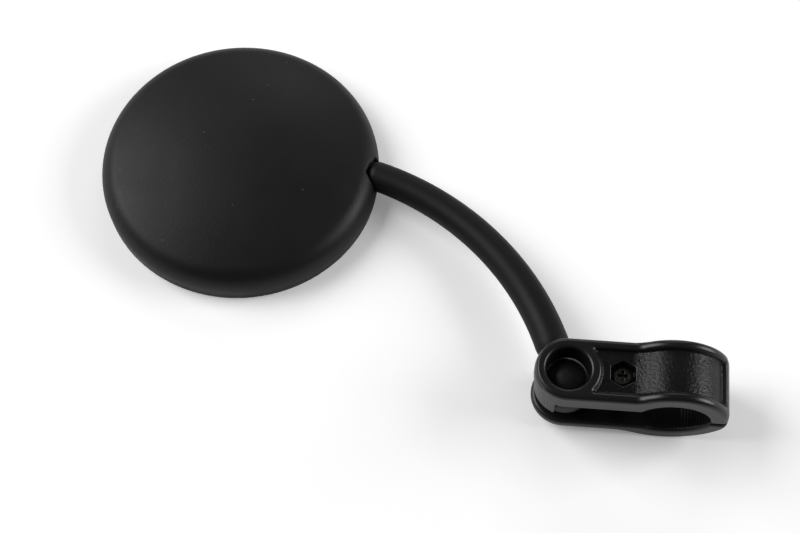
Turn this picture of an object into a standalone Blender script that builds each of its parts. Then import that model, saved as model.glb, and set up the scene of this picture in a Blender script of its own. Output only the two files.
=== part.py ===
"""Round bicycle mirror on a curved arm, clamped to a 22 mm handlebar.

Blender 4.5 script, metres, +Z up. The object lies on its back: the mirror faces down onto the
plane Z = 0 and the handlebar's axis runs along Y. One object for each piece, no overlaps.
Run it with: blender --background --python part.py
"""

import math

import bmesh
import bpy
from mathutils import Matrix, Vector

MM = 0.001
CLEARANCE = 0.3 * MM

# Clamp: two jaws that close on the handlebar at one end and on the arm's ball at the other.
# Heights are measured from the plane where the jaws meet beyond the handlebar, away from it.
BAR_X = 32.8 * MM
JAW_HALF_WIDTH = 10.1 * MM
JAW_WIDTH_MARGIN = 1.0 * MM
END_GAP = 0.6 * MM
END_CORNER_RADIUS = 2.5 * MM
RIB_WIDTH = 3.0 * MM
WEB_DEPTH = 1.6 * MM
END_RIB_ANGLE = math.radians(28.0)
WELL_TOP_RADIUS = 6.8 * MM
WELL_FOOT_RADIUS = 6.2 * MM
SKIRT_OUTER_RADIUS = 9.6 * MM
SKIRT_HEIGHT = 6.6 * MM
SKIRT_START = math.radians(152.0)
SKIRT_END = math.radians(251.0)
BALL_BELOW_PLANE = 0.64 * MM

# Each jaw: its face towards the other jaw, its back, and the arcs inside and outside the bore
UPPER = {
    "face": 5.1 * MM,
    "back": 12.8 * MM,
    "arc_x": BAR_X,
    "arc_depth": 0.3 * MM,
    "inner_radius": 11.0 * MM,
    "outer_radius": 17.2 * MM,
    "pocket_floor": 7.2 * MM,
}
LOWER = {
    "face": 6.35 * MM,
    "back": 9.9 * MM,
    "arc_x": BAR_X - 2.5 * MM,
    "arc_depth": 9.2 * MM,
    "inner_radius": 16.8 * MM,
    "outer_radius": 22.2 * MM,
    "pocket_floor": 7.3 * MM,
}

# Screw and nut that pull the jaws together
SCREW_X = 16.5 * MM
SCREW_SHANK_RADIUS = 2.0 * MM
SCREW_HEAD_RADIUS = 2.9 * MM
SCREW_HEAD_HEIGHT = 1.7 * MM
SCREW_LENGTH = 17.2 * MM
RECESS_WIDTH = 0.9 * MM
RECESS_LENGTH = 3.4 * MM
RECESS_DEPTH = 1.2 * MM
HEX_POCKET_ACROSS = 7.4 * MM
NUT_ACROSS = 7.0 * MM
NUT_HEIGHT = 2.2 * MM

# Arm: straight neck out of the ball, then one arc in plan, then a thin neck to the head's ball
CLAMP_BALL_RADIUS = 8.6 * MM
BALL_GAP = 0.35 * MM
ARM_ARC_CENTRE = Vector((-94.5, -19.05, 0.0)) * MM
ARM_ARC_RADIUS = 95.75 * MM
ARM_ARC_END = math.radians(71.0)
ARM_RADIUS_AT_CLAMP = 5.43 * MM
ARM_RADIUS_AT_HEAD = 4.84 * MM
ARM_NECK_RADIUS = 4.2 * MM
NECK_FLARE = ARM_RADIUS_AT_CLAMP - ARM_NECK_RADIUS
NECK_FLARE_START = 1.15 * MM
ARM_ENTRY_HEIGHT = 6.3 * MM
HEAD_BALL_REACH = 20.0 * MM
HEAD_BALL_RADIUS = 4.0 * MM
HEAD_BALL_HEIGHT = 8.2 * MM
HEAD_NECK_RADIUS = 2.4 * MM

# Head: a shallow round shell with the glass in its open side
HEAD_OFFSET = Vector((-108.2, 72.1, 0.0)) * MM
HEAD_RADIUS = 45.3 * MM
RIM_RADIUS = 44.7 * MM
SHOULDER_RADIUS = 8.0 * MM
SHOULDER_HEIGHT = 4.65 * MM
DOME_EDGE_SLOPE = math.radians(17.6)
SHELL_WALL = 1.8 * MM
NOTCH_CLEARANCE = 0.5 * MM
GLASS_RADIUS = 41.4 * MM
GLASS_RECESS = 0.5 * MM
GLASS_TOP = 2.5 * MM
GLASS_SAG = 0.85 * MM
PAD_THICKNESS = 0.5 * MM
PAD_RADIUS = 38.0 * MM
PLATE_THICKNESS = 1.2 * MM
PLATE_MARGIN = 1.2 * MM
PLATE_WINDOW_RADIUS = 2.8 * MM
PLATE_SLOT_START = 8.0 * MM
PLATE_SLOT_END = 30.0 * MM
PLATE_SLOT_HALF_WIDTH = 5.4 * MM
THROUGH = 10.0 * MM
BOSS_CIRCLE_RADIUS = 31.0 * MM
BOSS_RADIUS = 3.0 * MM
BOSS_COUNT = 3
SMALL_SHANK_RADIUS = 1.0 * MM
SMALL_HEAD_RADIUS = 1.7 * MM
CARRIER_SCREW_TIP = 9.0 * MM
BOSS_HOLE_ROOF = 2.5 * MM
SOCKET_RADIUS = 9.5 * MM
SOCKET_SCREW_CIRCLE = 7.6 * MM
SOCKET_WALL = 1.3 * MM
SOCKET_FLANGE = 1.3 * MM
SOCKET_CROWN = 4.75 * MM
NOTCH_START = 13.0 * MM
NOTCH_REACH = 15.0 * MM

# Places that follow from the sizes above
PLANE_HEIGHT = LOWER["outer_radius"] - LOWER["arc_depth"]
BALL_HEIGHT = PLANE_HEIGHT - BALL_BELOW_PLANE
X_LOW = HEAD_OFFSET.x - HEAD_RADIUS
X_HIGH = BAR_X + UPPER["outer_radius"]
Y_LOW = -JAW_HALF_WIDTH
Y_HIGH = HEAD_OFFSET.y + HEAD_RADIUS
CLAMP_PLACE = Vector((-(X_LOW + X_HIGH) / 2, -(Y_LOW + Y_HIGH) / 2, PLANE_HEIGHT))
BALL_PLACE = Vector((CLAMP_PLACE.x, CLAMP_PLACE.y, BALL_HEIGHT))
HEAD_PLACE = Vector((CLAMP_PLACE.x + HEAD_OFFSET.x, CLAMP_PLACE.y + HEAD_OFFSET.y, 0.0))


def clear_scene():
    for thing in list(bpy.data.objects):
        bpy.data.objects.remove(thing)


def finish_material(name, colour, roughness, metallic=0.0):
    """Principled material with linear RGB colour."""
    made = bpy.data.materials.new(name)
    made.use_nodes = True
    shader = made.node_tree.nodes["Principled BSDF"]
    shader.inputs["Base Color"].default_value = (*colour, 1.0)
    shader.inputs["Roughness"].default_value = roughness
    shader.inputs["Metallic"].default_value = metallic
    return made


def empty(name, place, parent=None):
    made = bpy.data.objects.new(name, None)
    bpy.context.collection.objects.link(made)
    made.location = place
    made.parent = parent
    return made


def solid(name, shape, material=None, parent=None, place=(0.0, 0.0, 0.0)):
    """Turn a bmesh into an object with smooth round sides."""
    bmesh.ops.recalc_face_normals(shape, faces=shape.faces)
    mesh = bpy.data.meshes.new(name)
    shape.to_mesh(mesh)
    shape.free()
    mesh.shade_smooth()
    mesh.set_sharp_from_angle(angle=math.radians(35.0))
    made = bpy.data.objects.new(name, mesh)
    bpy.context.collection.objects.link(made)
    if material:
        mesh.materials.append(material)
    made.location = place
    made.parent = parent
    return made


def as_cutter(thing):
    thing.hide_render = True
    thing.display_type = "WIRE"
    return thing


def combine(thing, other, operation="DIFFERENCE"):
    """Boolean of one object with another, which then only serves as a tool."""
    step = thing.modifiers.new(other.name, "BOOLEAN")
    step.object = as_cutter(other)
    step.operation = operation
    step.solver = "EXACT"


def arc(centre, radius, start, end, steps):
    """Points of an arc from angle start to angle end, both included."""
    turn = (end - start) / steps
    return [
        (centre[0] + radius * math.cos(start + i * turn), centre[1] + radius * math.sin(start + i * turn))
        for i in range(steps + 1)
    ]


def circle(centre, radius, steps, phase=0.0):
    return arc(centre, radius, phase, phase + 2 * math.pi * (steps - 1) / steps, steps - 1)


def prism(outline, low, high, upright=True):
    """Extrude an outline: of X and Y along Z when upright, otherwise of X and Z along Y."""
    shape = bmesh.new()
    ends = []
    for level in (low, high):
        if upright:
            ends.append([shape.verts.new((u, v, level)) for u, v in outline])
        else:
            ends.append([shape.verts.new((u, level, v)) for u, v in outline])
    count = len(outline)
    shape.faces.new(ends[0])
    shape.faces.new(ends[1])
    for i in range(count):
        j = (i + 1) % count
        shape.faces.new((ends[0][i], ends[0][j], ends[1][j], ends[1][i]))
    return shape


def turned(outline, steps):
    """Turn a closed outline of radius and height about Z. Points on the axis become poles."""
    shape = bmesh.new()
    rings = []
    for radius, height in outline:
        if radius < 1e-9:
            rings.append([shape.verts.new((0.0, 0.0, height))])
            continue
        angles = [2 * math.pi * i / steps for i in range(steps)]
        rings.append([shape.verts.new((radius * math.cos(a), radius * math.sin(a), height)) for a in angles])
    for i, ring in enumerate(rings):
        following = rings[(i + 1) % len(rings)]
        if len(ring) == 1 and len(following) == 1:
            continue
        for k in range(steps):
            n = (k + 1) % steps
            if len(ring) == 1:
                shape.faces.new((ring[0], following[n], following[k]))
            elif len(following) == 1:
                shape.faces.new((ring[k], ring[n], following[0]))
            else:
                shape.faces.new((ring[k], ring[n], following[n], following[k]))
    return shape


def ball(radius, segments, rings):
    shape = bmesh.new()
    bmesh.ops.create_uvsphere(shape, u_segments=segments, v_segments=rings, radius=radius)
    return shape


def swept(path, radii, steps):
    """Round bar along a path of points, with a radius at each point and flat ends."""
    shape = bmesh.new()
    rings = []
    for i, (point, radius) in enumerate(zip(path, radii)):
        before = path[max(i - 1, 0)]
        after = path[min(i + 1, len(path) - 1)]
        along = (after - before).normalized()
        side = along.cross(Vector((0.0, 0.0, 1.0))).normalized()
        up = side.cross(along)
        angles = [2 * math.pi * k / steps for k in range(steps)]
        ways = [math.cos(a) * side + math.sin(a) * up for a in angles]
        rings.append([shape.verts.new(point + radius * way) for way in ways])
    shape.faces.new(rings[0])
    shape.faces.new(rings[-1])
    for ring, following in zip(rings, rings[1:]):
        for k in range(steps):
            n = (k + 1) % steps
            shape.faces.new((ring[k], ring[n], following[n], following[k]))
    return shape


def hexagon(across, centre):
    """Hexagon with two flats across X and its corners towards +Y and -Y."""
    return circle(centre, across / 2 / math.cos(math.pi / 6), 6, math.pi / 2)


# Clamp ---------------------------------------------------------------------------------------


def arc_angle(height, jaw, radius):
    """Angle on one of the jaw's arcs at which it reaches a height, on the far side."""
    return math.asin((height + jaw["arc_depth"]) / radius)


def jaw_side_outline(jaw):
    """Jaw seen along Y with its back up: flat, then an arc round the handlebar's bore."""
    centre = (jaw["arc_x"], -jaw["arc_depth"])
    outer = jaw["outer_radius"]
    inner = jaw["inner_radius"]
    start = -JAW_HALF_WIDTH - JAW_WIDTH_MARGIN
    kink = math.pi - arc_angle(jaw["back"], jaw, outer)
    mouth = math.pi - arc_angle(jaw["face"], jaw, inner)
    outline = [(start, jaw["face"]), (start, jaw["back"])]
    outline += arc(centre, outer, kink, arc_angle(END_GAP / 2, jaw, outer), 26)
    outline += arc(centre, inner, arc_angle(END_GAP / 2, jaw, inner), mouth, 24)
    return outline


def jaw_plan_outline():
    """Jaw seen from above: a half circle round the ball, straight sides, two rounded corners."""
    corner_x = X_HIGH - END_CORNER_RADIUS
    corner_y = JAW_HALF_WIDTH - END_CORNER_RADIUS
    outline = arc((0.0, 0.0), JAW_HALF_WIDTH, math.pi / 2, 3 * math.pi / 2, 26)
    outline += arc((corner_x, -corner_y), END_CORNER_RADIUS, -math.pi / 2, 0.0, 5)
    outline += arc((corner_x, corner_y), END_CORNER_RADIUS, 0.0, math.pi / 2, 5)
    return outline


def web_outline(jaw):
    """Space between the ribs seen along Y, open outwards."""
    centre = (jaw["arc_x"], -jaw["arc_depth"])
    web_height = jaw["back"] - WEB_DEPTH
    floor_radius = jaw["outer_radius"] - WEB_DEPTH
    outside = jaw["outer_radius"] + 2 * MM
    meet = math.pi - arc_angle(web_height, jaw, floor_radius)
    outline = [(0.0, web_height)]
    outline += arc(centre, floor_radius, meet, END_RIB_ANGLE, 24)
    outline += arc(centre, outside, END_RIB_ANGLE, math.pi / 2, 12)
    outline += [(0.0, outside)]
    return outline


def ball_well(back):
    """Tapered hole over the ball, with a flared mouth."""
    flare = 0.5 * MM
    return turned(
        [
            (0.0, 0.0),
            (WELL_FOOT_RADIUS, 0.0),
            (WELL_FOOT_RADIUS, back / 2),
            (WELL_TOP_RADIUS - flare, back - 2 * flare),
            (WELL_TOP_RADIUS, back - flare / 2),
            (WELL_TOP_RADIUS + flare, back + flare),
            (0.0, back + flare),
        ],
        40,
    )


def skirt(face):
    """Thin wall that hangs from the upper jaw round the outer side of the ball."""
    inner = CLAMP_BALL_RADIUS + BALL_GAP
    outline = arc((0.0, 0.0), SKIRT_OUTER_RADIUS, SKIRT_START, SKIRT_END, 22)
    outline += arc((0.0, 0.0), inner, SKIRT_END, SKIRT_START, 22)
    return prism(outline, face - SKIRT_HEIGHT, face + 1.2 * MM)


def make_jaw(name, material, sizes, pocket_across, ball_height):
    """One jaw with its back up. Only the upper one has ribs, a ring and the skirt."""
    side = prism(jaw_side_outline(sizes), -2 * JAW_HALF_WIDTH, 2 * JAW_HALF_WIDTH, False)
    jaw = solid(name, side, material)
    top = sizes["outer_radius"] + MM
    combine(jaw, solid(name + "_plan", prism(jaw_plan_outline(), -MM, top)), "INTERSECT")
    if name == "upper_jaw":
        web_width = JAW_HALF_WIDTH - RIB_WIDTH
        web = solid(name + "_web", prism(web_outline(sizes), -web_width, web_width, False))
        combine(web, solid(name + "_ring", prism(circle((0.0, 0.0), JAW_HALF_WIDTH, 52), 0.0, top)))
        combine(jaw, web)
    seat = solid(name + "_seat", ball(CLAMP_BALL_RADIUS + CLEARANCE, 40, 20))
    seat.location = (0.0, 0.0, ball_height)
    combine(jaw, seat)
    combine(jaw, solid(name + "_well", ball_well(sizes["back"])))
    pocket = prism(hexagon(pocket_across, (SCREW_X, 0.0)), sizes["pocket_floor"], sizes["back"] + MM)
    combine(jaw, solid(name + "_pocket", pocket))
    hole = prism(circle((SCREW_X, 0.0), SCREW_SHANK_RADIUS + CLEARANCE, 24), 0.0, sizes["back"])
    combine(jaw, solid(name + "_hole", hole))
    if name == "upper_jaw":
        combine(jaw, solid(name + "_skirt", skirt(sizes["face"])), "UNION")
    return jaw


def make_clamp(plastic, steel):
    """The lower jaw is built with its back up too, and its frame turns it over."""
    frame = empty("clamp_frame", CLAMP_PLACE)
    for name, sizes, across, ball_height, turn in (
        ("upper_jaw", UPPER, HEX_POCKET_ACROSS, -BALL_BELOW_PLANE, 0.0),
        ("lower_jaw", LOWER, NUT_ACROSS + 2 * CLEARANCE, BALL_BELOW_PLANE, math.pi),
    ):
        side = empty(name + "_frame", (0.0, 0.0, 0.0), frame)
        side.rotation_euler = (turn, 0.0, 0.0)
        jaw = make_jaw(name, plastic, sizes, across, ball_height)
        jaw.parent = side
        for step in jaw.modifiers:
            step.object.parent = side
            for inner_step in step.object.modifiers:
                inner_step.object.parent = side
    make_screw(steel, frame)
    make_nut(steel, frame)


def make_screw(steel, frame):
    """Cheese-head screw with a cross recess, head up."""
    under_head = UPPER["pocket_floor"] + CLEARANCE
    top = under_head + SCREW_HEAD_HEIGHT
    tip = under_head - SCREW_LENGTH
    edge = 0.35 * MM
    outline = [
        (0.0, tip),
        (SCREW_SHANK_RADIUS - edge, tip),
        (SCREW_SHANK_RADIUS, tip + edge),
        (SCREW_SHANK_RADIUS, under_head),
        (SCREW_HEAD_RADIUS, under_head),
        (SCREW_HEAD_RADIUS, top - edge),
        (SCREW_HEAD_RADIUS - edge, top),
        (0.0, top),
    ]
    screw = solid("clamp_screw", turned(outline, 32), steel, frame, (SCREW_X, 0.0, 0.0))
    for name, half_x, half_y in (
        ("recess_across", RECESS_LENGTH / 2, RECESS_WIDTH / 2),
        ("recess_along", RECESS_WIDTH / 2, RECESS_LENGTH / 2),
    ):
        corners = [(-half_x, -half_y), (half_x, -half_y), (half_x, half_y), (-half_x, half_y)]
        bar = solid(name, prism(corners, top - RECESS_DEPTH, top + MM), None, frame, (SCREW_X, 0.0, 0.0))
        combine(screw, bar)


def make_nut(steel, frame):
    """Hexagon nut in the lower jaw's pocket."""
    top = -LOWER["pocket_floor"] - CLEARANCE
    nut = solid("clamp_nut", prism(hexagon(NUT_ACROSS, (0.0, 0.0)), top - NUT_HEIGHT, top), steel, frame)
    nut.location = (SCREW_X, 0.0, 0.0)
    bore_outline = circle((0.0, 0.0), SCREW_SHANK_RADIUS + CLEARANCE, 24)
    bore = solid("nut_bore", prism(bore_outline, top - 2 * NUT_HEIGHT, top + MM), None, frame)
    bore.location = (SCREW_X, 0.0, 0.0)
    combine(nut, bore)


# Arm -----------------------------------------------------------------------------------------


def arm_start_angle():
    """Angle on the arm's arc where the straight neck from the ball's centre touches it."""
    distance = ARM_ARC_CENTRE.length
    ball_angle = math.atan2(-ARM_ARC_CENTRE.y, -ARM_ARC_CENTRE.x)
    return ball_angle + math.acos(ARM_ARC_RADIUS / distance)


def arc_point(angle):
    """Point on the arm's arc; its height falls evenly with the distance from the ball."""
    flat = ARM_ARC_CENTRE + ARM_ARC_RADIUS * Vector((math.cos(angle), math.sin(angle), 0.0))
    end = ARM_ARC_CENTRE + ARM_ARC_RADIUS * Vector((math.cos(ARM_ARC_END), math.sin(ARM_ARC_END), 0.0))
    share = flat.dot(end) / end.dot(end)
    flat.z = share * (ARM_ENTRY_HEIGHT - BALL_HEIGHT)
    return flat


def head_ball_point():
    """Centre of the head's ball, measured from the clamp's ball."""
    entry = arc_point(ARM_ARC_END)
    tangent = Vector((-math.sin(ARM_ARC_END), math.cos(ARM_ARC_END), 0.0))
    centre = entry + HEAD_BALL_REACH * tangent
    centre.z = HEAD_BALL_HEIGHT - BALL_HEIGHT
    return centre


def make_arm(plastic):
    frame = empty("arm_frame", BALL_PLACE)
    solid("clamp_ball", ball(CLAMP_BALL_RADIUS, 40, 20), plastic, frame)

    start = arm_start_angle()
    first = arc_point(start)
    last = arc_point(ARM_ARC_END)
    knob = head_ball_point()
    neck_way = first.normalized()
    knob_way = (knob - last).normalized()
    neck_start = CLAMP_BALL_RADIUS + BALL_GAP
    path = [neck_way * neck_start, neck_way * (neck_start + NECK_FLARE_START)]
    radii = [ARM_NECK_RADIUS, ARM_NECK_RADIUS + 0.2 * NECK_FLARE]
    steps = 32
    for i in range(steps + 1):
        share = i / steps
        path.append(arc_point(start + share * (ARM_ARC_END - start)))
        full = ARM_RADIUS_AT_CLAMP + share * (ARM_RADIUS_AT_HEAD - ARM_RADIUS_AT_CLAMP)
        radii.append(full if i else ARM_NECK_RADIUS + 0.5 * NECK_FLARE)
    shoulder = (
        (1.2 * MM, ARM_RADIUS_AT_HEAD),
        (2.4 * MM, ARM_RADIUS_AT_HEAD * 0.8),
        (3.2 * MM, HEAD_NECK_RADIUS),
    )
    for past, radius in shoulder:
        path.append(last + knob_way * past)
        radii.append(radius)
    path.append(knob - knob_way * (HEAD_BALL_RADIUS + BALL_GAP))
    radii.append(HEAD_NECK_RADIUS)
    solid("arm", swept(path, radii, 24), plastic, frame)
    solid("head_ball", ball(HEAD_BALL_RADIUS, 28, 14), plastic, frame, knob)


# Head ----------------------------------------------------------------------------------------


def shell_outer(steps):
    """Outer side of the shell from the rim's foot to the middle of the dome."""
    shoulder_x = HEAD_RADIUS - SHOULDER_RADIUS
    centre = (shoulder_x, SHOULDER_HEIGHT)
    outline = [(RIM_RADIUS, 0.0), (RIM_RADIUS + 0.35 * MM, 0.5 * MM)]
    outline += arc(centre, SHOULDER_RADIUS, 0.0, math.pi / 2 - DOME_EDGE_SLOPE, 9)
    edge_radius, edge_height = outline[-1]
    dome_radius = edge_radius / math.sin(DOME_EDGE_SLOPE)
    sphere_height = edge_height - dome_radius * math.cos(DOME_EDGE_SLOPE)
    for i in range(1, steps + 1):
        slope = DOME_EDGE_SLOPE * (1 - i / steps)
        outline.append((dome_radius * math.sin(slope), sphere_height + dome_radius * math.cos(slope)))
    return outline


def shell_inner():
    """Inner side of the shell, from the middle down to the glass's seat."""
    shoulder_x = HEAD_RADIUS - SHOULDER_RADIUS
    centre = (shoulder_x, SHOULDER_HEIGHT)
    inner_shoulder = SHOULDER_RADIUS - SHELL_WALL
    edge_radius = shoulder_x + inner_shoulder * math.sin(DOME_EDGE_SLOPE)
    edge_height = SHOULDER_HEIGHT + inner_shoulder * math.cos(DOME_EDGE_SLOPE)
    dome_radius = edge_radius / math.sin(DOME_EDGE_SLOPE)
    sphere_height = edge_height - dome_radius * math.cos(DOME_EDGE_SLOPE)
    steps = 8
    outline = []
    for i in range(steps):
        slope = DOME_EDGE_SLOPE * i / steps
        outline.append((dome_radius * math.sin(slope), sphere_height + dome_radius * math.cos(slope)))
    outline += arc(centre, inner_shoulder, math.pi / 2 - DOME_EDGE_SLOPE, 0.0, 7)
    outline += [(HEAD_RADIUS - SHELL_WALL, GLASS_TOP + PAD_THICKNESS), (GLASS_RADIUS + CLEARANCE, 0.0)]
    return outline


def boss_places():
    angles = [math.pi / 3 + 2 * math.pi * i / BOSS_COUNT for i in range(BOSS_COUNT)]
    return [(BOSS_CIRCLE_RADIUS * math.cos(a), BOSS_CIRCLE_RADIUS * math.sin(a)) for a in angles]


def plate_bottom():
    return GLASS_TOP + CLEARANCE + PAD_THICKNESS + CLEARANCE


def plate_top():
    return plate_bottom() + PLATE_THICKNESS


def make_shell(plastic, frame, knob, entry):
    outline = shell_outer(10) + shell_inner()
    shell = solid("head_shell", turned(outline, 72), plastic, frame)
    for i, (x, y) in enumerate(boss_places()):
        roof = SHOULDER_HEIGHT + SHOULDER_RADIUS
        boss = solid(
            f"boss_{i + 1}",
            prism(circle((x, y), BOSS_RADIUS, 20), plate_top() + CLEARANCE, roof),
            None,
            frame,
        )
        combine(shell, boss, "UNION")
        hole = prism(circle((x, y), SMALL_SHANK_RADIUS + CLEARANCE, 16), 0.0, roof - BOSS_HOLE_ROOF)
        combine(shell, solid(f"boss_hole_{i + 1}", hole, None, frame))
    way = (entry - knob).normalized()
    bore = prism(circle((0.0, 0.0), ARM_RADIUS_AT_HEAD + NOTCH_CLEARANCE, 32), 0.0, NOTCH_REACH)
    notch = solid("notch", bore, None, frame, knob + way * NOTCH_START)
    notch.rotation_mode = "QUATERNION"
    notch.rotation_quaternion = way.to_track_quat("Z", "Y")
    combine(shell, notch)


def make_glass(glass, foam, frame):
    """Convex glass, thicker in the middle, and the foam pad that holds it on the plate."""
    middle = GLASS_RECESS
    edge = GLASS_RECESS + GLASS_SAG
    outline = [(0.0, middle)]
    steps = 6
    for i in range(1, steps + 1):
        share = i / steps
        outline.append((GLASS_RADIUS * share, middle + GLASS_SAG * share**2))
    outline += [(GLASS_RADIUS, edge + 0.2 * MM), (GLASS_RADIUS, GLASS_TOP), (0.0, GLASS_TOP)]
    solid("mirror_glass", turned(outline, 72), glass, frame)
    low = GLASS_TOP + CLEARANCE
    disc = prism(circle((0.0, 0.0), PAD_RADIUS, 48), low, low + PAD_THICKNESS)
    pad = solid("glass_pad", disc, foam, frame)
    for i, (x, y) in enumerate(boss_places()):
        hole = prism(circle((x, y), SMALL_HEAD_RADIUS + CLEARANCE, 20), low - MM, low + 2 * MM)
        combine(pad, solid(f"pad_hole_{i + 1}", hole, None, frame))


def make_plate(plastic, frame, knob, entry):
    """Plate behind the glass that carries the socket and is screwed to the shell's bosses."""
    radius = GLASS_RADIUS - PLATE_MARGIN
    shape = prism(circle((0.0, 0.0), radius, 56), plate_bottom(), plate_top())
    plate = solid("carrier_plate", shape, plastic, frame)
    for i, (x, y) in enumerate(boss_places()):
        hole = prism(circle((x, y), SMALL_SHANK_RADIUS + CLEARANCE, 16), 0.0, THROUGH)
        combine(plate, solid(f"plate_hole_{i + 1}", hole, None, frame))
    window = prism(circle((knob.x, knob.y), PLATE_WINDOW_RADIUS, 24), 0.0, THROUGH)
    combine(plate, solid("plate_window", window, None, frame))
    for i, (x, y) in enumerate(socket_screw_places(knob, entry)):
        hole = prism(circle((x, y), SMALL_SHANK_RADIUS + CLEARANCE, 16), 0.0, THROUGH)
        combine(plate, solid(f"socket_screw_hole_{i + 1}", hole, None, frame))
    way = math.atan2(entry.y - knob.y, entry.x - knob.x)
    near, far, half = PLATE_SLOT_START, PLATE_SLOT_END, PLATE_SLOT_HALF_WIDTH
    corners = [(near, -half), (far, -half), (far, half), (near, half)]
    slot = solid("plate_slot", prism(corners, 0.0, THROUGH), None, frame)
    slot.location = (knob.x, knob.y, 0.0)
    slot.rotation_euler = (0.0, 0.0, way)
    combine(plate, slot)


def socket_screw_places(knob, entry):
    """Screws round the socket, at a right angle to the neck and opposite it."""
    way = math.atan2(entry.y - knob.y, entry.x - knob.x)
    places = []
    for quarter in (1, 2, 3):
        angle = way + quarter * math.pi / 2
        x = knob.x + SOCKET_SCREW_CIRCLE * math.cos(angle)
        y = knob.y + SOCKET_SCREW_CIRCLE * math.sin(angle)
        places.append((x, y))
    return places


def neck_slot(name, frame, knob, entry):
    """Cutter round the thin neck where it leaves the socket."""
    way = (entry - knob).normalized()
    shape = prism(circle((0.0, 0.0), HEAD_NECK_RADIUS + CLEARANCE, 24), 0.0, 2 * SOCKET_RADIUS)
    made = solid(name, shape, None, frame, knob)
    made.rotation_mode = "QUATERNION"
    made.rotation_quaternion = way.to_track_quat("Z", "Y")
    return made


def make_socket(plastic, frame, knob, entry):
    """Seat and cap that hold the head's ball between them, split at the ball's equator."""
    inside = HEAD_BALL_RADIUS + CLEARANCE
    low = plate_top() + CLEARANCE - knob.z
    split = CLEARANCE / 2
    seat_foot = math.asin(low / inside)
    seat_edge = math.asin(-split / inside)
    seat_outline = [(SOCKET_RADIUS, low), (SOCKET_RADIUS, -split)]
    seat_outline += arc((0.0, 0.0), inside, seat_edge, seat_foot, 8)
    seat = solid("socket_seat", turned(seat_outline, 40), plastic, frame, knob)

    outer = inside + SOCKET_WALL
    foot_turn = math.asin(SOCKET_FLANGE / outer)
    crown_turn = math.asin(SOCKET_CROWN / outer)
    cap_outline = [(SOCKET_RADIUS, split), (SOCKET_RADIUS, SOCKET_FLANGE)]
    cap_outline += arc((0.0, 0.0), outer, foot_turn, crown_turn, 6)
    cap_outline += [(0.0, SOCKET_CROWN)]
    cap_outline += reversed(arc((0.0, 0.0), inside, math.asin(split / inside), math.pi / 2, 9))
    cap = solid("socket_cap", turned(cap_outline, 40), plastic, frame, knob)

    for piece in (seat, cap):
        combine(piece, neck_slot(piece.name + "_slot", frame, knob, entry))
        for i, (x, y) in enumerate(socket_screw_places(knob, entry)):
            hole = prism(circle((x, y), SMALL_SHANK_RADIUS + CLEARANCE, 16), 0.0, 2 * knob.z)
            combine(piece, solid(f"{piece.name}_hole_{i + 1}", hole, None, frame))


def small_screw(head_low, head_high, tip):
    """Turned outline of a small round-head screw whose head lies between two heights."""
    shank_side = head_low if tip < head_low else head_high
    head_side = head_high if tip < head_low else head_low
    return [
        (0.0, tip),
        (SMALL_SHANK_RADIUS, tip),
        (SMALL_SHANK_RADIUS, shank_side),
        (SMALL_HEAD_RADIUS, shank_side),
        (SMALL_HEAD_RADIUS, head_side),
        (0.0, head_side),
    ]


def make_small_screws(steel, frame, knob, entry):
    """Three screws down through the socket and three up through the plate into the bosses."""
    head_low = knob.z + SOCKET_FLANGE + CLEARANCE
    sets = (
        ("socket_screw", socket_screw_places(knob, entry), head_low, head_low + MM, plate_bottom()),
        (
            "carrier_screw",
            boss_places(),
            GLASS_TOP + CLEARANCE,
            plate_bottom() - CLEARANCE,
            CARRIER_SCREW_TIP,
        ),
    )
    for name, places, low, high, tip in sets:
        for i, (x, y) in enumerate(places):
            solid(f"{name}_{i + 1}", turned(small_screw(low, high, tip), 16), steel, frame, (x, y, 0.0))


def make_head(plastic, glass, foam, steel):
    """The head's frame stands at the head's middle, on the plane of the rim."""
    frame = empty("head_frame", HEAD_PLACE)
    shift = BALL_PLACE - HEAD_PLACE
    knob = head_ball_point() + shift
    entry = arc_point(ARM_ARC_END) + shift
    make_shell(plastic, frame, knob, entry)
    make_glass(glass, foam, frame)
    make_plate(plastic, frame, knob, entry)
    make_socket(plastic, frame, knob, entry)
    make_small_screws(steel, frame, knob, entry)


clear_scene()
black_plastic = finish_material("black_plastic", (0.014, 0.014, 0.015), 0.5)
inner_plastic = finish_material("inner_plastic", (0.03, 0.03, 0.032), 0.6)
zinc_steel = finish_material("zinc_steel", (0.55, 0.55, 0.53), 0.35, 1.0)
mirror_finish = finish_material("mirror_finish", (0.85, 0.87, 0.88), 0.03, 1.0)
pad_foam = finish_material("pad_foam", (0.75, 0.74, 0.7), 0.9)
make_clamp(black_plastic, zinc_steel)
make_arm(black_plastic)
make_head(black_plastic, mirror_finish, pad_foam, zinc_steel)
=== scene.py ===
"""Round bicycle mirror on a curved arm, lying face down on a white table.

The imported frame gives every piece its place. Lengths here are in millimetres, and MM turns them
into metres. Each section below makes one piece: its shape, its finish and the body it rides on.
"""
import math

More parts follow.
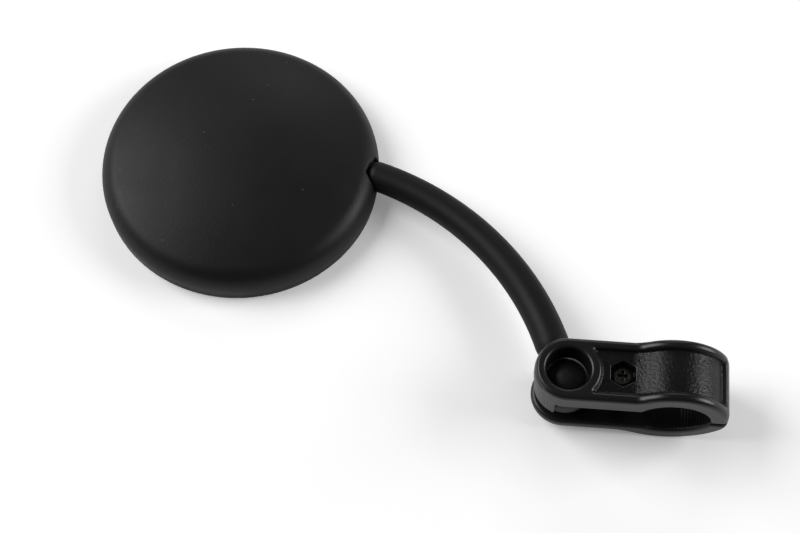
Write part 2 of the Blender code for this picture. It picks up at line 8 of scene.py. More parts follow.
import bpy
import numpy as np
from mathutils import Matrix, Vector


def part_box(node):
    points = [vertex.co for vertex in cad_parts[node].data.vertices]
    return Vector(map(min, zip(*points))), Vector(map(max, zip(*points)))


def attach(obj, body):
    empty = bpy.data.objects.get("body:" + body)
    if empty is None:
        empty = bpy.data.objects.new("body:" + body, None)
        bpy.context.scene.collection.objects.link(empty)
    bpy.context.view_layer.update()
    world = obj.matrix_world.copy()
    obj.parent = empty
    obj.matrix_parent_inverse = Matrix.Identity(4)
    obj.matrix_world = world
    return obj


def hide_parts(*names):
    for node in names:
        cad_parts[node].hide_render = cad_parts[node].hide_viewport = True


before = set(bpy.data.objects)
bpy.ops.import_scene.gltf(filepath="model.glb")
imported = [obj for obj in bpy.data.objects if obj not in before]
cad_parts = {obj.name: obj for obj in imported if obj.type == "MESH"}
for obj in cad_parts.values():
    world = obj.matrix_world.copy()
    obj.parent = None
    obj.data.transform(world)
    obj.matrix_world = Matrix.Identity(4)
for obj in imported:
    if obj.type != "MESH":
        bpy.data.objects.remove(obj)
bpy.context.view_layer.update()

MM = 0.001


# Head shell ----------------------------------------------------------------------------------
# The round back of the mirror head, injection moulded in black ABS. It is a shallow dome with a
# rolled shoulder, a wall of 1.8 mm, and a round notch in its side where the arm goes in.

HEAD_RADIUS = 45.3
SHOULDER_RADIUS = 8.0
SHOULDER_HEIGHT = 4.65
SIDE_TAPER = 0.06
DOME_SLOPE = math.radians(17.6)
SHELL_WALL = 1.8
GLASS_RADIUS = 41.4
BEZEL_GAP = 0.3
BEZEL_FLARE = 0.6
NOTCH_GAP = 0.3
NOTCH_START = 16.6
BOSS_CIRCLE = 31.0
BOSS_COUNT = 3
BOSS_RADIUS = 3.0
BOSS_FOOT = 5.1
BOSS_FILLET = 0.6
BOSS_INSET = 0.6
BOSS_HOLE_RADIUS = 1.3
BOSS_HOLE_ROOF = 10.15
ARM_END_RADIUS = 4.84
ARM_ARC_CENTRE = np.array([-94.5, -19.05])
ARM_ARC_RADIUS = 95.75
ARM_ARC_END = math.radians(71.0)
ARM_ENTRY_HEIGHT = 6.3

shell_low, shell_high = [np.array(corner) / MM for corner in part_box("head_shell")]
HEAD_X, HEAD_Y = (shell_low[:2] + shell_high[:2]) / 2
knob_low, knob_high = [np.array(corner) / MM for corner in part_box("head_ball")]
KNOB = (knob_low + knob_high) / 2
ball_low, ball_high = [np.array(corner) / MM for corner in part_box("clamp_ball")]
BALL = (ball_low + ball_high) / 2


def meet(a, b, edge=0.0):
    """Field of what two fields share, its outer edge a quarter circle of radius edge.

    It is the larger field, less what a circle of that radius cuts off where both are near 0.
    """
    if not edge:
        return np.maximum(a, b)
    corner = np.hypot(np.maximum(a + edge, 0.0), np.maximum(b + edge, 0.0))
    return np.minimum(np.maximum(a, b), -edge) + corner


def merge(a, b, fillet=0.0):
    """Field of two fields joined, with a hollow fillet where they meet: the reverse of meet."""
    return -meet(-a, -b, fillet)


def skin(name, field, low, high, step):
    """Closed surface where field(x, y, z) is 0, negative inside.

    The field is taken on a regular grid. Each cell that the surface crosses gets one point, at
    the mean of the crossings on its edges, and each grid edge that it crosses gets one quad.
    The points then slide along the field's slope until the field is 0 there.
    """
    probe, longest_slide, least_steep = 0.05 * step, 0.4 * step, 0.5
    axes = [np.arange(a - step, b + 2 * step, step) for a, b in zip(low, high)]
    value = field(*np.meshgrid(*axes, indexing="ij"))
    value[value == 0.0] = 1e-9
    shape = np.array(value.shape)
    keys, points, rings = [], [], []
    for axis in range(3):
        order = [(axis + shift) % 3 for shift in range(3)]
        turned = value.transpose(order)
        i, j, k = np.nonzero((turned[:-1] < 0) != (turned[1:] < 0))
        near, far = turned[i, j, k], turned[i + 1, j, k]
        crossing = np.empty((len(i), 3))
        crossing[:, order] = np.stack([i + near / (near - far), j, k], axis=1)
        ring = np.empty((len(i), 4, 3), dtype=np.int64)
        for corner, (dj, dk) in enumerate(((1, 1), (0, 1), (0, 0), (1, 0))):
            ring[:, corner, order] = np.stack([i, j - dj, k - dk], axis=1)
        ring[near > 0] = ring[near > 0][:, ::-1]
        key = np.ravel_multi_index(ring.reshape(-1, 3).T, shape)
        keys.append(key)
        points.append(np.repeat(crossing, 4, axis=0))
        rings.append(key.reshape(-1, 4))
    keys, points, rings = np.concatenate(keys), np.concatenate(points), np.concatenate(rings)
    cells, owner = np.unique(keys, return_inverse=True)
    count = np.bincount(owner)
    place = np.stack([np.bincount(owner, points[:, n]) / count for n in range(3)], axis=1)
    place = place * step + [axis[0] for axis in axes]
    for _ in range(4):
        here = field(*place.T)
        slope = np.stack(
            [(field(*(place + probe * way).T) - here) / probe for way in np.eye(3)], axis=1
        )
        steep = np.maximum((slope**2).sum(axis=1), least_steep)
        slide = np.clip(here / steep, -longest_slide, longest_slide)
        place = place - slide[:, None] * slope
    return mesh_piece(name, place, np.searchsorted(cells, rings))


def mesh_piece(name, points, quads):
    """Object with its place in its mesh, from points in millimetres and quads of point numbers."""
    mesh = bpy.data.meshes.new(name)
    mesh.vertices.add(len(points))
    mesh.vertices.foreach_set("co", (points * MM).ravel())
    mesh.loops.add(quads.size)
    mesh.loops.foreach_set("vertex_index", quads.ravel())
    mesh.polygons.add(len(quads))
    mesh.polygons.foreach_set("loop_start", np.arange(0, quads.size, 4))
    mesh.polygons.foreach_set("use_smooth", np.ones(len(quads), dtype=bool))
    mesh.update(calc_edges=True)
    mesh.validate()
    piece = bpy.data.objects.new(name, mesh)
    bpy.context.collection.objects.link(piece)
    return piece


def linear(code):
    """sRGB hex colour as linear RGBA."""
    parts = np.array([int(code[i : i + 2], 16) for i in (1, 3, 5)]) / 255
    light = np.where(parts > 0.04045, ((parts + 0.055) / 1.055) ** 2.4, parts / 12.92)
    return (*light, 1.0)


def add(tree, kind, inputs=None, **settings):
    """Add a node with its settings; each input is a value or another node's output."""
    made = tree.nodes.new("ShaderNode" + kind)
    for name, value in settings.items():
        setattr(made, name, value)
    for name, value in (inputs or {}).items():
        if isinstance(value, bpy.types.NodeSocket):
            tree.links.new(value, made.inputs[name])
        else:
            made.inputs[name].default_value = value
    return made


GLOSS_DRIFT = 0.05
DRIFT_WIDTH = 22.0
SPECK_RADIUS = 0.3
SPECK_CORE = 0.1
SPECK_STRENGTH = 0.28


def moulded_plastic(name, colour, high_colour, rough, grain, depth, speck=None, shine=0.25):
    """Moulded thermoplastic: a spark-eroded grain of the mould, with a slow drift of its gloss.

    grain is the width of one grain and depth its height, in millimetres. speck is the spacing of
    dust specks, for the pieces that carry them. shine is the strength of the mirror reflection,
    where 0.5 is what a bare polished plastic has.
    """
    made = bpy.data.materials.new(name)
    made.use_nodes = True
    tree = made.node_tree
    shader = tree.nodes["Principled BSDF"]
    place = add(tree, "TexCoord").outputs["Object"]
    slow = add(tree, "TexNoise", {"Vector": place, "Scale": 1 / (DRIFT_WIDTH * MM), "Detail": 2.0})
    fine = add(
        tree,
        "TexNoise",
        {"Vector": place, "Scale": 1 / (grain * MM), "Detail": 3.0, "Roughness": 0.6},
    )
    tint = add(
        tree,
        "Mix",
        {0: slow.outputs["Fac"], 6: linear(colour), 7: linear(high_colour)},
        data_type="RGBA",
    ).outputs[2]
    if speck:
        dots = add(tree, "TexVoronoi", {"Vector": place, "Scale": 1 / (speck * MM)})
        near = add(
            tree,
            "MapRange",
            {
                "Value": dots.outputs["Distance"],
                "From Min": SPECK_RADIUS / speck,
                "From Max": SPECK_CORE / speck,
                "To Min": 0.0,
                "To Max": SPECK_STRENGTH,
            },
        )
        tint = add(
            tree,
            "Mix",
            {0: near.outputs["Result"], 6: tint, 7: linear("#8c8a86")},
            data_type="RGBA",
        ).outputs[2]
    tree.links.new(tint, shader.inputs["Base Color"])
    gloss = add(
        tree,
        "MapRange",
        {
            "Value": slow.outputs["Fac"],
            "From Min": 0.3,
            "From Max": 0.7,
            "To Min": rough - GLOSS_DRIFT,
            "To Max": rough + GLOSS_DRIFT,
        },
    )
    tree.links.new(gloss.outputs["Result"], shader.inputs["Roughness"])
    bump = add(tree, "Bump", {"Height": fine.outputs["Fac"], "Distance": depth * MM})
    tree.links.new(bump.outputs["Normal"], shader.inputs["Normal"])
    shader.inputs["IOR"].default_value = 1.5
    shader.inputs["Specular IOR Level"].default_value = shine
    return made


def dress(piece, body, slot, material, *nodes):
    """Give a piece its finish, its body and the CAD nodes it stands for."""
    piece.data.materials.append(material)
    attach(piece, body)
    if nodes:
        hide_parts(*nodes)
    return piece


def arm_end():
    """Where the arm's thick end stops and which way its thin neck runs on to the head's ball."""
    last = arc_point(np.array([ARM_ARC_END]))[0]
    way = (KNOB - last) / np.linalg.norm(KNOB - last)
    return last, way


def arc_point(angle):
    """Points of the arm's arc: a circle from above, falling evenly with the way from the ball."""
    flat = ARM_ARC_CENTRE + ARM_ARC_RADIUS * np.stack([np.cos(angle), np.sin(angle)], axis=-1)
    end_way = np.array([math.cos(ARM_ARC_END), math.sin(ARM_ARC_END)])
    end = ARM_ARC_CENTRE + ARM_ARC_RADIUS * end_way
    share = flat @ end / (end @ end)
    height = share * (ARM_ENTRY_HEIGHT - BALL[2])
    return np.concatenate([flat, height[..., None]], axis=-1) + BALL


def dome_side(radius, z):
    """Distance outside the shell's outer side, from the distance to its axis and the height.

    The side tapers in a little down to the foot. Above it the shoulder is part of a circle, and
    the dome is part of a large sphere that runs on smoothly from the shoulder's end.
    """
    x = radius - (HEAD_RADIUS - SHOULDER_RADIUS)
    y = z - SHOULDER_HEIGHT
    edge = HEAD_RADIUS - SHOULDER_RADIUS + SHOULDER_RADIUS * math.sin(DOME_SLOPE)
    sphere = edge / math.sin(DOME_SLOPE)
    middle = SHOULDER_RADIUS * math.cos(DOME_SLOPE) - sphere * math.cos(DOME_SLOPE)
    shoulder = np.hypot(x, y) - SHOULDER_RADIUS
    dome = np.hypot(radius, y - middle) - sphere
    on_dome = np.arctan2(y, x) > math.pi / 2 - DOME_SLOPE
    side = radius - HEAD_RADIUS - SIDE_TAPER * y
    return np.where(y < 0, side, np.where(on_dome, dome, shoulder))


def shell_field(x, y, z):
    """Shell: the domed solid less its hollow, its bosses added, and the arm's notch taken out."""
    dx, dy = x - HEAD_X, y - HEAD_Y
    radius = np.hypot(dx, dy)
    outside = dome_side(radius, z)
    bezel = radius - GLASS_RADIUS - BEZEL_GAP - BEZEL_FLARE * z
    shell = meet(meet(outside, -z, 0.3), -np.maximum(outside + SHELL_WALL, bezel), 0.3)
    for number in range(BOSS_COUNT):
        turn = math.pi / 3 + 2 * math.pi * number / BOSS_COUNT
        away = np.hypot(dx - BOSS_CIRCLE * math.cos(turn), dy - BOSS_CIRCLE * math.sin(turn))
        boss = meet(away - BOSS_RADIUS, BOSS_FOOT - z, 0.2)
        shell = merge(shell, np.maximum(boss, outside + BOSS_INSET), BOSS_FILLET)
        shell = meet(shell, -np.maximum(away - BOSS_HOLE_RADIUS, z - BOSS_HOLE_ROOF), 0.1)
    way = arm_end()[1]
    rel = [x - KNOB[0], y - KNOB[1], z - KNOB[2]]
    along = -(rel[0] * way[0] + rel[1] * way[1] + rel[2] * way[2])
    across = np.sqrt(np.maximum(rel[0] ** 2 + rel[1] ** 2 + rel[2] ** 2 - along**2, 0.0))
    notch = np.maximum(across - ARM_END_RADIUS - NOTCH_GAP, NOTCH_START - along)
    return meet(shell, -notch, 0.5)


shell_black = moulded_plastic(
    "abs_fine_spark_grain", "#0f0f10", "#131313", 0.48, grain=0.7, depth=0.07, speck=7.0
)
shell = skin("head_shell_moulding", shell_field, shell_low, shell_high, 0.5)
dress(shell, "head", "black_plastic", shell_black, "head_shell")


# Arm -----------------------------------------------------------------------------------------
# Round arm of glass-filled nylon, moulded in one with the neck of its ball. It leaves the clamp
# under the ring, follows one arc, thins a little towards the head and ends in a slim neck.

ARM_RADIUS_AT_CLAMP = 5.43
ARM_NECK_RADIUS = 4.2
# Distances from the ball's middle, with the radius or the share of the full thickness at each.
NECK_REACH = np.array([8.95, 8.96, 9.4, 9.9, 10.4, 10.9])
NECK_RADII = [0.0, ARM_NECK_RADIUS, 4.28, 4.4, 4.54, 4.7]
FLARE_REACH = [8.95, 10.1, 11.2, 13.9]
FLARE_SHARE = [0.0, 0.2, 0.5, 1.0]
HEAD_NECK_RADIUS = 2.4
HEAD_NECK_GAP = 4.35
END_ROUND = 3.2


def tube(name, path, radii, around=64):
    """Round bar: a circle of the given radius carried along a path and held at a right angle to it.

    The end rows shrink to a point, so that both ends are closed.
    """
    along = np.gradient(path, axis=0)
    along /= np.linalg.norm(along, axis=1, keepdims=True)
    side = np.cross(along, [0.0, 0.0, 1.0])
    side /= np.linalg.norm(side, axis=1, keepdims=True)
    up = np.cross(side, along)
    turn = np.linspace(0.0, 2 * math.pi, around, endpoint=False)
    offset = side[:, None] * np.cos(turn)[:, None] + up[:, None] * np.sin(turn)[:, None]
    return grid_piece(name, path[:, None] + np.asarray(radii)[:, None, None] * offset)


def grid_piece(name, points):
    """Closed piece from rows of points that wrap round; the first and last rows become poles."""
    rows, columns = points.shape[:2]
    body = points[1:-1].reshape(-1, 3)
    first, last = len(body), len(body) + 1
    numbers = np.full((rows, columns), first)
    numbers[1:-1] = np.arange(len(body)).reshape(rows - 2, columns)
    numbers[-1] = last
    across = np.roll(numbers, -1, axis=1)
    quads = np.stack([numbers[:-1], across[:-1], across[1:], numbers[1:]], axis=-1).reshape(-1, 4)
    everything = np.concatenate([body, points[:1, 0], points[-1:, 0]])
    caps = (quads == first).any(axis=1) | (quads == last).any(axis=1)
    mesh = bpy.data.meshes.new(name)
    faces = quads[~caps].tolist() + [list(dict.fromkeys(face)) for face in quads[caps].tolist()]
    mesh.from_pydata(everything * MM, [], faces)
    mesh.shade_smooth()
    mesh.update()
    piece = bpy.data.objects.new(name, mesh)
    bpy.context.collection.objects.link(piece)
    return piece


def arm_path():
    """Path and radius of the arm from the clamp's ball to the head's ball."""
    reach = np.linalg.norm(ARM_ARC_CENTRE)
    start = math.atan2(-ARM_ARC_CENTRE[1], -ARM_ARC_CENTRE[0]) + math.acos(ARM_ARC_RADIUS / reach)
    share = np.linspace(0.0, 1.0, 110)
    arc = arc_point(start + share * (ARM_ARC_END - start))
    full = ARM_RADIUS_AT_CLAMP + share * (ARM_END_RADIUS - ARM_RADIUS_AT_CLAMP)
    from_ball = np.linalg.norm(arc - BALL, axis=1)
    flare = np.interp(from_ball, FLARE_REACH, FLARE_SHARE)
    radius = ARM_NECK_RADIUS + flare * (full - ARM_NECK_RADIUS)
    neck_way = (arc[0] - BALL) / np.linalg.norm(arc[0] - BALL)
    neck = BALL + NECK_REACH[:, None] * neck_way
    last, way = arm_end()
    past = np.array([0.6, 1.1, 1.6, 2.0, 2.4, 2.7, 3.0, END_ROUND])
    fall = np.sqrt(np.clip(1 - (past / END_ROUND) ** 2, 0.0, 1.0))
    end_radius = HEAD_NECK_RADIUS + (ARM_END_RADIUS - HEAD_NECK_RADIUS) * fall
    tip = KNOB - way * HEAD_NECK_GAP
    path = np.concatenate([neck, arc, last + past[:, None] * way, [tip - 0.01 * way, tip]])
    radii = np.concatenate([NECK_RADII, radius, end_radius, [HEAD_NECK_RADIUS, 0.0]])
    return path, radii


arm_black = moulded_plastic(
    "nylon_fine_grain", "#0c0b0b", "#0f0e0e", 0.52, grain=0.6, depth=0.045, shine=0.2
)
arm = tube("arm_moulding", *arm_path())
dress(arm, "arm", "black_plastic", arm_black, "arm")


# Ball ----------------------------------------------------------------------------------------
# The ball on the arm's end, gripped between the two jaws. It shows at the bottom of the well,
# with the dull face that the jaws' seats leave on it.

CLAMP_BALL_RADIUS = 8.6


def turned(name, middle, radius, height, around=96):
    """Piece turned about an upright axis: rows of radius and height, from one pole to the other."""
    turn = np.linspace(0.0, 2 * math.pi, around, endpoint=False)
    radius, height = np.asarray(radius)[:, None], np.asarray(height)[:, None]
    rows = np.stack(
        [radius * np.cos(turn), radius * np.sin(turn), height + 0.0 * turn], axis=-1
    )
    return grid_piece(name, rows + middle)


rise = np.linspace(math.pi / 2, -math.pi / 2, 65)
ball_sides = CLAMP_BALL_RADIUS * np.cos(rise), CLAMP_BALL_RADIUS * np.sin(rise)
ball = turned("ball_moulding", BALL, *ball_sides)
ball_black = moulded_plastic("nylon_ball", "#161617", "#1b1b1b", 0.45, grain=0.5, depth=0.03)
dress(ball, "ball", "black_plastic", ball_black, "clamp_ball")


# Upper jaw -----------------------------------------------------------------------------------
# The jaw with the ribs, moulded in black nylon. A raised ring runs round the well over the ball,
# two ribs follow the jaw's sides, and the web between them keeps the mould's rougher face.

JAW_HALF_WIDTH = 10.1
JAW_END = 50.0
END_CORNER = 2.5
UPPER_BACK = 12.8
UPPER_UNDER = 5.1
LIP_GAP = 0.3
BOW_X, BOW_Z = 32.8, -0.3
BOW_RADIUS = 17.2
BORE_RADIUS = 11.0
BOW_FILLET = 1.0
RIB_WIDTH = 3.0
WEB_DEPTH = 1.6
END_RIB_ANGLE = math.radians(28.0)
SCREW_X = 16.5
SCREW_HOLE_RADIUS = 2.3
HEAD_POCKET = 7.4
HEAD_POCKET_FLOOR = 7.2
SEAT_RADIUS = 8.9
SEAT_DROP = 0.64
WELL_RADIUS = 6.2
WELL_TOP_RADIUS = 6.8
SKIRT_RADIUS = 9.25
SKIRT_HALF_WALL = 0.3
SKIRT_LOW, SKIRT_HIGH = -1.5, 6.3
SKIRT_START, SKIRT_END = math.radians(152), math.radians(251)
SKIRT_RIDGES = 60
SKIRT_RIDGE = 0.05
upper_low, upper_high = [np.array(corner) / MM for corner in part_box("upper_jaw")]
lower_low, lower_high = [np.array(corner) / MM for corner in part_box("lower_jaw")]
CLAMP = np.array([BALL[0], BALL[1], BALL[2] + SEAT_DROP])


def jaw_plan(x, y):
    """Jaw from above: a half circle round the ball, straight sides and two rounded corners."""
    right, up = x - (JAW_END - END_CORNER), np.abs(y) - (JAW_HALF_WIDTH - END_CORNER)
    box = np.hypot(np.maximum(right, 0.0), np.maximum(up, 0.0)) - END_CORNER
    box = box + np.minimum(np.maximum(right, up), 0.0)
    return np.where(x < 0, np.hypot(x, y) - JAW_HALF_WIDTH, box)


def jaw_back(x, z, back, bow_x, bow_z, bow_radius):
    """Outer side of a jaw: a flat back merged into an arc over the handlebar."""
    flat = np.maximum(z - back, x - bow_x + 3.0)
    return merge(flat, np.hypot(x - bow_x, z - bow_z) - bow_radius, BOW_FILLET)


def hexagon(x, y, across):
    """Distance outside a hexagon with flats towards +X and -X."""
    return np.maximum(np.abs(x), 0.5 * np.abs(x) + 0.866 * np.abs(y)) - across / 2


def ball_seat(jaw, x, y, z, ball_z, back):
    """Take the ball's seat and the tapered well over it out of a jaw."""
    flat = np.hypot(x, y)
    rise = np.clip((z - back / 2) / (back / 2), 0.0, 1.0)
    jaw = meet(jaw, WELL_RADIUS + (WELL_TOP_RADIUS - WELL_RADIUS) * rise - flat, 1.0)
    return meet(jaw, SEAT_RADIUS - np.hypot(flat, z - ball_z))


def upper_jaw_field(x, y, z):
    """Upper jaw: back, bore and plan met with rounded edges, then web, well, pocket and skirt."""
    x, y, z = x - CLAMP[0], y - CLAMP[1], z - CLAMP[2]
    bar = np.hypot(x - BOW_X, z - BOW_Z)
    back = jaw_back(x, z, UPPER_BACK, BOW_X, BOW_Z, BOW_RADIUS)
    under = meet(np.where(x < BOW_X, UPPER_UNDER - z, LIP_GAP - z), BORE_RADIUS - bar, 0.5)
    jaw = meet(meet(back, under, 1.6), jaw_plan(x, y), 1.5)
    end_rib = math.sin(END_RIB_ANGLE) * (x - BOW_X) - math.cos(END_RIB_ANGLE) * (z - BOW_Z)
    web = meet(np.abs(y) - (JAW_HALF_WIDTH - RIB_WIDTH), JAW_HALF_WIDTH - np.hypot(x, y), 1.2)
    web = meet(web, end_rib, 1.2)
    web = meet(web, -(back + WEB_DEPTH), 0.7)
    jaw = meet(jaw, -web, 1.1)
    pocket = np.maximum(hexagon(x - SCREW_X, y, HEAD_POCKET), HEAD_POCKET_FLOOR - z)
    jaw = meet(jaw, -pocket, 0.3)
    jaw = meet(jaw, SCREW_HOLE_RADIUS - np.hypot(x - SCREW_X, y), 0.2)
    jaw = ball_seat(jaw, x, y, z, -SEAT_DROP, UPPER_BACK)
    half_ridge = SKIRT_RIDGE * np.cos(SKIRT_RIDGES * np.arctan2(y, x)) / 2
    wall = np.abs(np.hypot(x, y) - SKIRT_RADIUS - half_ridge) - SKIRT_HALF_WALL - half_ridge
    wall = np.maximum(wall, np.maximum(SKIRT_LOW - z, z - SKIRT_HIGH))
    wedge = np.maximum(
        x * math.sin(SKIRT_START) - y * math.cos(SKIRT_START),
        y * math.cos(SKIRT_END) - x * math.sin(SKIRT_END),
    )
    return merge(jaw, meet(wall, wedge, 0.2), 0.2)


jaw_black = moulded_plastic(
    "nylon_satin_jaw", "#101012", "#141416", 0.32, grain=0.4, depth=0.012, shine=0.4
)
web_black = moulded_plastic(
    "nylon_wrinkled_web", "#0c0c0d", "#111112", 0.3, grain=1.0, depth=0.22, shine=0.22
)
upper_jaw = skin("upper_jaw_moulding", upper_jaw_field, upper_low, upper_high, 0.3)
dress(upper_jaw, "clamp_top", "black_plastic", jaw_black, "upper_jaw")


def paint_web(piece):
    """Give the wrinkled finish to the faces of the web: between the ribs and below their crests."""
    mesh = piece.data
    mesh.materials.append(web_black)
    middles = np.empty(3 * len(mesh.polygons))
    mesh.polygons.foreach_get("center", middles)
    x, y, z = (middles.reshape(-1, 3) / MM - CLAMP).T
    back = jaw_back(x, z, UPPER_BACK, BOW_X, BOW_Z, BOW_RADIUS)
    floor = (np.abs(back + WEB_DEPTH) < 0.35) & (np.abs(y) < JAW_HALF_WIDTH - RIB_WIDTH)
    floor &= (np.hypot(x, y) > JAW_HALF_WIDTH) & (hexagon(x - SCREW_X, y, HEAD_POCKET) > 0.3)
    mesh.polygons.foreach_set("material_index", floor.astype(np.int32))


paint_web(upper_jaw)


# Lower jaw -----------------------------------------------------------------------------------
# The plain jaw under the handlebar, of the same nylon. Its bore is ribbed along the bar so that
# it grips, and a hexagonal pocket in its back holds the nut.

LOWER_BACK = 9.9
LOWER_UNDER = 6.35
LOWER_BOW_X, LOWER_BOW_Z = 30.3, -9.2
LOWER_BOW_RADIUS = 22.2
LOWER_BORE_RADIUS = 16.8
GRIP_RIDGES = 105
GRIP_RIDGE = 0.06
NUT_POCKET = 7.6
NUT_POCKET_FLOOR = 7.3


def lower_jaw_field(x, y, z):
    """Lower jaw, worked out with its back up and then turned over."""
    x, y, z = x - CLAMP[0], CLAMP[1] - y, CLAMP[2] - z
    along, up = x - LOWER_BOW_X, z - LOWER_BOW_Z
    bore = LOWER_BORE_RADIUS - GRIP_RIDGE * np.cos(GRIP_RIDGES * np.arctan2(up, along))
    back = jaw_back(x, z, LOWER_BACK, LOWER_BOW_X, LOWER_BOW_Z, LOWER_BOW_RADIUS)
    flat = np.where(x < LOWER_BOW_X, LOWER_UNDER - z, LIP_GAP - z)
    jaw = meet(back, meet(flat, bore - np.hypot(along, up), 0.8), 1.0)
    jaw = meet(jaw, jaw_plan(x, y), 1.3)
    pocket = np.maximum(hexagon(x - SCREW_X, y, NUT_POCKET), NUT_POCKET_FLOOR - z)
    jaw = meet(jaw, -pocket, 0.3)
    jaw = meet(jaw, SCREW_HOLE_RADIUS - np.hypot(x - SCREW_X, y), 0.2)
    return ball_seat(jaw, x, y, z, SEAT_DROP, LOWER_BACK)


lower_jaw = skin("lower_jaw_moulding", lower_jaw_field, lower_low, lower_high, 0.3)
dress(lower_jaw, "clamp", "black_plastic", jaw_black, "lower_jaw")


# Clamp screw and nut -------------------------------------------------------------------------
# Cheese-head steel screw with a cross recess, zinc plated and passivated dark, and its nut.

SCREW_HEAD = 2.9
SCREW_HEAD_HEIGHT = 1.7
SCREW_SHANK = 2.0
THREAD_PITCH = 0.7
THREAD_DEPTH = 0.2
RECESS_DEPTH = 1.2
RECESS_HALF_LENGTH = 1.75
RECESS_HALF_WIDTH = 0.5
NUT_ACROSS = 7.0
NUT_CHAMFER_RADIUS = 3.6
NUT_HOLE_RADIUS = 2.3
screw_low, screw_high = [np.array(corner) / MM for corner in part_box("clamp_screw")]
nut_low, nut_high = [np.array(corner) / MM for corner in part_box("clamp_nut")]


def screw_field(x, y, z):
    """Screw: a rounded head and a threaded shank, less a tapered cross."""
    x, y = x - (screw_low[0] + screw_high[0]) / 2, y - (screw_low[1] + screw_high[1]) / 2
    flat = np.hypot(x, y)
    down = screw_high[2] - z
    head = meet(meet(flat - SCREW_HEAD, -down, 0.5), down - SCREW_HEAD_HEIGHT)
    turns = (z / THREAD_PITCH + np.arctan2(y, x) / (2 * math.pi)) % 1.0
    thread = THREAD_DEPTH * (np.abs(turns * 2 - 1) - 1)
    shank = meet(flat - SCREW_SHANK - thread, screw_low[2] - z, 0.3)
    screw = np.minimum(head, np.maximum(shank, -down))
    half, long = RECESS_HALF_WIDTH - 0.12 * down, RECESS_HALF_LENGTH - 0.3 * down
    slot = np.maximum(np.abs(x) - long, np.abs(y) - half)
    cross = np.minimum(slot, np.maximum(np.abs(x) - half, np.abs(y) - long))
    return meet(screw, -np.maximum(cross, down - RECESS_DEPTH), 0.12)


def plated_steel(name, colour, high_colour, rough):
    """Zinc-plated steel with a fine crystalline plating and a dulled, uneven gloss."""
    made = bpy.data.materials.new(name)
    made.use_nodes = True
    tree = made.node_tree
    shader = tree.nodes["Principled BSDF"]
    shader.inputs["Metallic"].default_value = 1.0
    place = add(tree, "TexCoord").outputs["Object"]
    plating = add(tree, "TexNoise", {"Vector": place, "Scale": 1 / (0.6 * MM), "Detail": 4.0})
    ramp = add(
        tree,
        "MapRange",
        {"Value": plating.outputs["Fac"], "To Min": rough - 0.1, "To Max": rough + 0.15},
    )
    tree.links.new(ramp.outputs["Result"], shader.inputs["Roughness"])
    tint = add(
        tree,
        "Mix",
        {0: plating.outputs["Fac"], 6: linear(colour), 7: linear(high_colour)},
        data_type="RGBA",
    )
    tree.links.new(tint.outputs[2], shader.inputs["Base Color"])
    bump = add(tree, "Bump", {"Height": plating.outputs["Fac"], "Distance": 0.02 * MM})
    tree.links.new(bump.outputs["Normal"], shader.inputs["Normal"])
    return made


screw_steel = plated_steel("blackened_steel", "#2b2a29", "#4a4946", 0.38)
screw = skin("clamp_screw_turned", screw_field, screw_low, screw_high, 0.12)
dress(screw, "screw", "steel", screw_steel, "clamp_screw")


def nut_field(x, y, z):
    """Nut: a hexagon with chamfered corners and a threaded hole."""
    x, y = x - (nut_low[0] + nut_high[0]) / 2, y - (nut_low[1] + nut_high[1]) / 2
    flat = np.hypot(x, y)
    from_end = np.minimum(z - nut_low[2], nut_high[2] - z)
    prism = meet(hexagon(x, y, NUT_ACROSS), -from_end, 0.1)
    prism = np.maximum(prism, (flat - NUT_CHAMFER_RADIUS - 1.7 * from_end) * 0.5)
    return meet(prism, NUT_HOLE_RADIUS - flat, 0.25)


nut = skin("clamp_nut_pressed", nut_field, nut_low, nut_high, 0.15)
dress(nut, "clamp", "steel", screw_steel, "clamp_nut")


# Mirror glass --------------------------------------------------------------------------------
# Convex mirror, silvered behind, lying face down just inside the shell's rim.

GLASS_SAG = 0.85
GLASS_THICKNESS = 2.0
GLASS_BEVEL = 0.25
GLASS_GRIND = 0.993
glass_low = np.array(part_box("mirror_glass")[0]) / MM


def silvered_glass(name):
    """Silvered glass: a near-perfect mirror with a trace of handling smears."""
    made = bpy.data.materials.new(name)
    made.use_nodes = True
    tree = made.node_tree
    shader = tree.nodes["Principled BSDF"]
    shader.inputs["Base Color"].default_value = linear("#e9edee")
    shader.inputs["Metallic"].default_value = 1.0
    place = add(tree, "TexCoord").outputs["Object"]
    smear = add(tree, "TexNoise", {"Vector": place, "Scale": 1 / (9 * MM), "Detail": 5.0})
    ramp = add(
        tree,
        "MapRange",
        {
            "Value": smear.outputs["Fac"],
            "From Min": 0.4,
            "From Max": 0.8,
            "To Min": 0.02,
            "To Max": 0.09,
        },
    )
    tree.links.new(ramp.outputs["Result"], shader.inputs["Roughness"])
    return made


face_share = np.linspace(0.0, GLASS_GRIND, 40)
share = np.concatenate([face_share, [1.0, 1.0, GLASS_GRIND, 0.0]])
edge = [GLASS_SAG + GLASS_BEVEL, GLASS_THICKNESS - GLASS_BEVEL, GLASS_THICKNESS, GLASS_THICKNESS]
level = np.concatenate([GLASS_SAG * face_share**2, edge]) + glass_low[2]
middle = np.array([HEAD_X, HEAD_Y, 0.0])
glass = turned("mirror_glass_lens", middle, (GLASS_RADIUS * share)[::-1], level[::-1], 128)
dress(glass, "head", "mirror", silvered_glass("silvered_convex_glass"), "mirror_glass")


# Parts inside the head -----------------------------------------------------------------------
# The plate behind the glass, the pad on it, the ball's seat and cap and six small screws keep
# their CAD shapes, which are right for turned and moulded parts nobody sees.

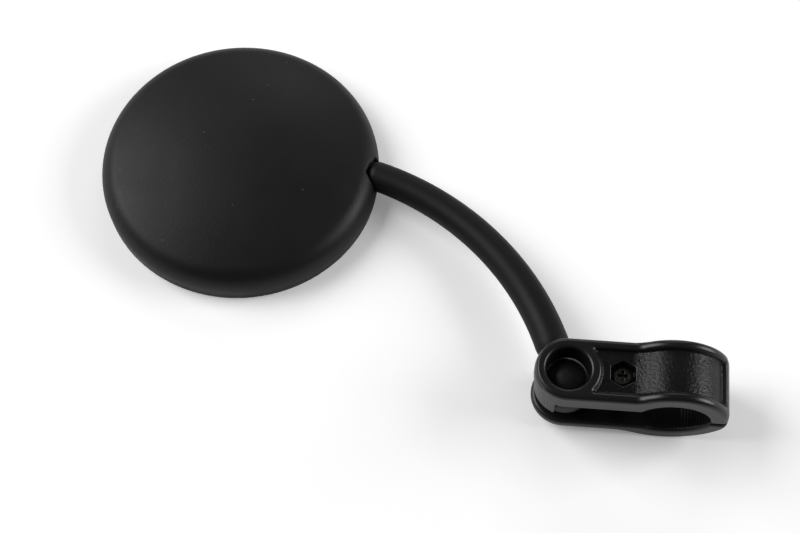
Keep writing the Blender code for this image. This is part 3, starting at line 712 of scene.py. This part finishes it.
inner_black = moulded_plastic("abs_inner_part", "#2b2b2c", "#313132", 0.5, grain=0.7, depth=0.03)
pad_foam = moulded_plastic("polyethylene_foam", "#c9c6bd", "#d8d5cc", 0.85, grain=0.5, depth=0.15)
small_steel = plated_steel("zinc_plated_small_screws", "#a3a19b", "#b4b2ac", 0.35)
inside = {
    "head_ball": arm_black,
    "carrier_plate": inner_black,
    "socket_seat": inner_black,
    "socket_cap": inner_black,
    "glass_pad": pad_foam,
}
for family in ("socket_screw", "carrier_screw"):
    for number in (1, 2, 3):
        inside[f"{family}_{number}"] = small_steel
for name, material in inside.items():
    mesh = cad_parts[name].data
    mesh.materials.clear()
    mesh.materials.append(material)


# Table, light and camera ---------------------------------------------------------------------
# A white table with a faint glow of its own, under one large soft box from the left, a weaker one
# from the right and a faint one from behind, seen steeply from above.

WORLD_LIGHT = 0.1
TABLE_GLOW = 0.08
TABLE_LIFT = 0.2
TABLE_HALF = 4.0


def table_finish():
    """Opal sheet lit a little from beneath; most of its glow reaches only the camera."""
    made = bpy.data.materials.new("opal_table_sheet")
    made.use_nodes = True
    tree = made.node_tree
    shader = tree.nodes["Principled BSDF"]
    place = add(tree, "TexCoord").outputs["Object"]
    cloud = add(tree, "TexNoise", {"Vector": place, "Scale": 1 / (80 * MM), "Detail": 2.0})
    tint = add(
        tree,
        "Mix",
        {0: cloud.outputs["Fac"], 6: linear("#f6f6f6"), 7: linear("#fafafa")},
        data_type="RGBA",
    )
    tree.links.new(tint.outputs[2], shader.inputs["Base Color"])
    shader.inputs["Roughness"].default_value = 0.9
    shader.inputs["Specular IOR Level"].default_value = 0.1
    shader.inputs["Emission Color"].default_value = (1.0, 1.0, 1.0, 1.0)
    seen = add(tree, "LightPath").outputs["Is Camera Ray"]
    glow = add(tree, "MapRange", {"Value": seen, "To Min": TABLE_GLOW, "To Max": TABLE_LIFT})
    tree.links.new(glow.outputs["Result"], shader.inputs["Emission Strength"])
    return made


table_mesh = bpy.data.meshes.new("table")
table_mesh.from_pydata(
    [(x * TABLE_HALF, y * TABLE_HALF, 0.0) for x, y in ((-1, -1), (1, -1), (1, 1), (-1, 1))],
    [],
    [(0, 1, 2, 3)],
)
table = bpy.data.objects.new("table", table_mesh)
bpy.context.collection.objects.link(table)
table_mesh.materials.append(table_finish())


def soft_light(name, place, size, power):
    """Soft box of a width and height in metres, at a place in metres, turned to face the origin."""
    data = bpy.data.lights.new(name, "AREA")
    data.shape = "RECTANGLE"
    data.size, data.size_y = size
    data.energy = power
    lamp = bpy.data.objects.new(name, data)
    lamp.location = place
    lamp.rotation_euler = (-Vector(place)).to_track_quat("-Z", "Y").to_euler()
    bpy.context.collection.objects.link(lamp)


soft_light("key_soft_box", (-1.25, 0.3, 1.05), (1.3, 1.1), 24.0)
soft_light("right_soft_box", (1.3, 0.15, 0.65), (0.9, 0.7), 13.0)
soft_light("back_soft_box", (0.1, 1.5, 0.9), (1.0, 0.6), 4.0)

world = bpy.data.worlds.new("studio")
bpy.context.scene.world = world
world.use_nodes = True
world.node_tree.nodes["Background"].inputs["Color"].default_value = (1.0, 1.0, 1.0, 1.0)
world.node_tree.nodes["Background"].inputs["Strength"].default_value = WORLD_LIGHT

bpy.context.scene.view_settings.view_transform = "Standard"

LENS = 85.0
CAMERA_TURN = math.radians(4.34)
CAMERA_TILT = math.radians(63.62)
CAMERA_AIM = np.array([-2.05, -11.15, 0.0])
CAMERA_DISTANCE = 608.23
forward = np.array(
    [
        -math.sin(CAMERA_TURN) * math.cos(CAMERA_TILT),
        math.cos(CAMERA_TURN) * math.cos(CAMERA_TILT),
        -math.sin(CAMERA_TILT),
    ]
)
camera_data = bpy.data.cameras.new("camera")
camera_data.lens = LENS
camera_data.sensor_width = 36.0
camera_data.clip_start, camera_data.clip_end = 0.01, 20.0
camera = bpy.data.objects.new("camera", camera_data)
camera.location = (CAMERA_AIM - forward * CAMERA_DISTANCE) * MM
camera.rotation_euler = Vector(forward).to_track_quat("-Z", "Y").to_euler()
bpy.context.collection.objects.link(camera)
bpy.context.scene.camera = camera
